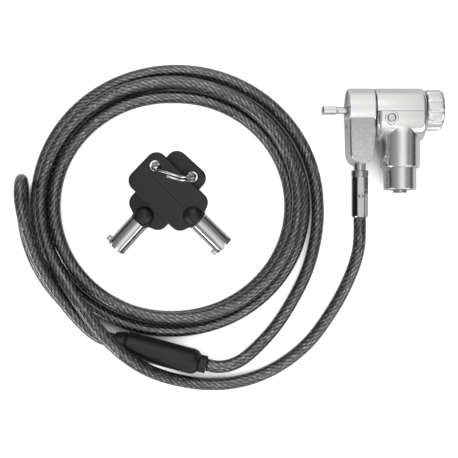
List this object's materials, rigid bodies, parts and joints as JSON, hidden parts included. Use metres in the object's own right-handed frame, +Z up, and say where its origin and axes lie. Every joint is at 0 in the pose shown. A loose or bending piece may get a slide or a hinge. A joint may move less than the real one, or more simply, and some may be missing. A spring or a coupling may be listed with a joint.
{
  "type": "laptop cable lock",
  "caption": "Keyed laptop cable lock: barrel head with a turning T tip and push-in lock cylinder, swivel yoke, coated steel cable with an anchoring loop, tubular keys on a ring.",
  "frame": {"origin": "End of the lock tip, on the barrel's axis", "axes": "+X runs from the lock tip along the barrel to the knob, +Y points away from the lock cylinder, +Z is up from the surface that the lock lies on"},
  "size_m": [0.1769, 0.1361, 0.0196],
  "materials": {
    "satin_casting": "satin nickel over a zinc casting",
    "cylinder_plate": "fine turned nickel plate",
    "chrome_plate": "polished chrome plate",
    "turned_steel": "turned steel",
    "bush_metal": "plain turned brass",
    "ring_wire": "bright nickel-plated spring wire",
    "cable_jacket": "smoke-tinted clear jacket over steel rope",
    "moulded_black": "fine-grained black moulding"
  },
  "bodies": {
    "cable": {"end_ferrule": "chrome_plate", "swivel_stud": "turned_steel", "cable_lead": "cable_jacket", "cable_coil": "cable_jacket", "cable_tail": "cable_jacket", "cable_eye": "cable_jacket", "loop_sleeve": "moulded_black", "loop_collar": "moulded_black", "split_ring": "ring_wire", "key_back_grip": "moulded_black", "key_back_tube": "chrome_plate"},
    "yoke": {"yoke_front": "satin_casting", "yoke_back": "satin_casting", "yoke_bush": "bush_metal"},
    "head": {"nose_guide": "turned_steel", "housing_body": "satin_casting", "housing_cover": "satin_casting", "housing_pin": "turned_steel", "plunger_spring": "turned_steel"},
    "turner": {"knob": "satin_casting", "knob_cap": "satin_casting", "spindle": "turned_steel", "spindle_clip": "turned_steel", "t_bar": "turned_steel"},
    "plunger": {"lock_cylinder": "cylinder_plate", "locking_bolt": "turned_steel"},
    "core": {"core_rotor": "bush_metal", "core_post": "chrome_plate"},
    "front_key": {"key_front_grip": "moulded_black", "key_front_tube": "chrome_plate"}
  },
  "joints": [
    {"name": "yoke_swivel", "type": "hinge", "parent": "cable", "child": "yoke", "pos_m": [0.0156, -0.0226, 0], "axis": [0, 1, 0], "range_deg": [-80, 80]},
    {"name": "head_turn", "type": "hinge", "parent": "yoke", "child": "head", "pos_m": [0.0213, 0, 0], "axis": [1, 0, 0], "continuous": true},
    {"name": "knob_turn", "type": "hinge", "parent": "head", "child": "turner", "pos_m": [0.042, 0, 0], "axis": [1, 0, 0], "range_deg": [0, 90]},
    {"name": "plunger_slide", "type": "slide", "parent": "head", "child": "plunger", "axis": [0, 1, 0], "range_m": [0, 0.005], "stiffness_N_per_m": 150, "deforming": ["plunger_spring"]},
    {"name": "core_turn", "type": "hinge", "parent": "plunger", "child": "core", "pos_m": [0.03215, -0.0328, 0], "axis": [0, 1, 0], "range_deg": [0, 90]},
    {"name": "front_key_lift", "type": "hinge", "parent": "cable", "child": "front_key", "pos_m": [-0.06855, -0.02307, 0.00245], "axis": [-0.7009, -0.709, -0.0783], "range_deg": [0, 5]}
  ]
}
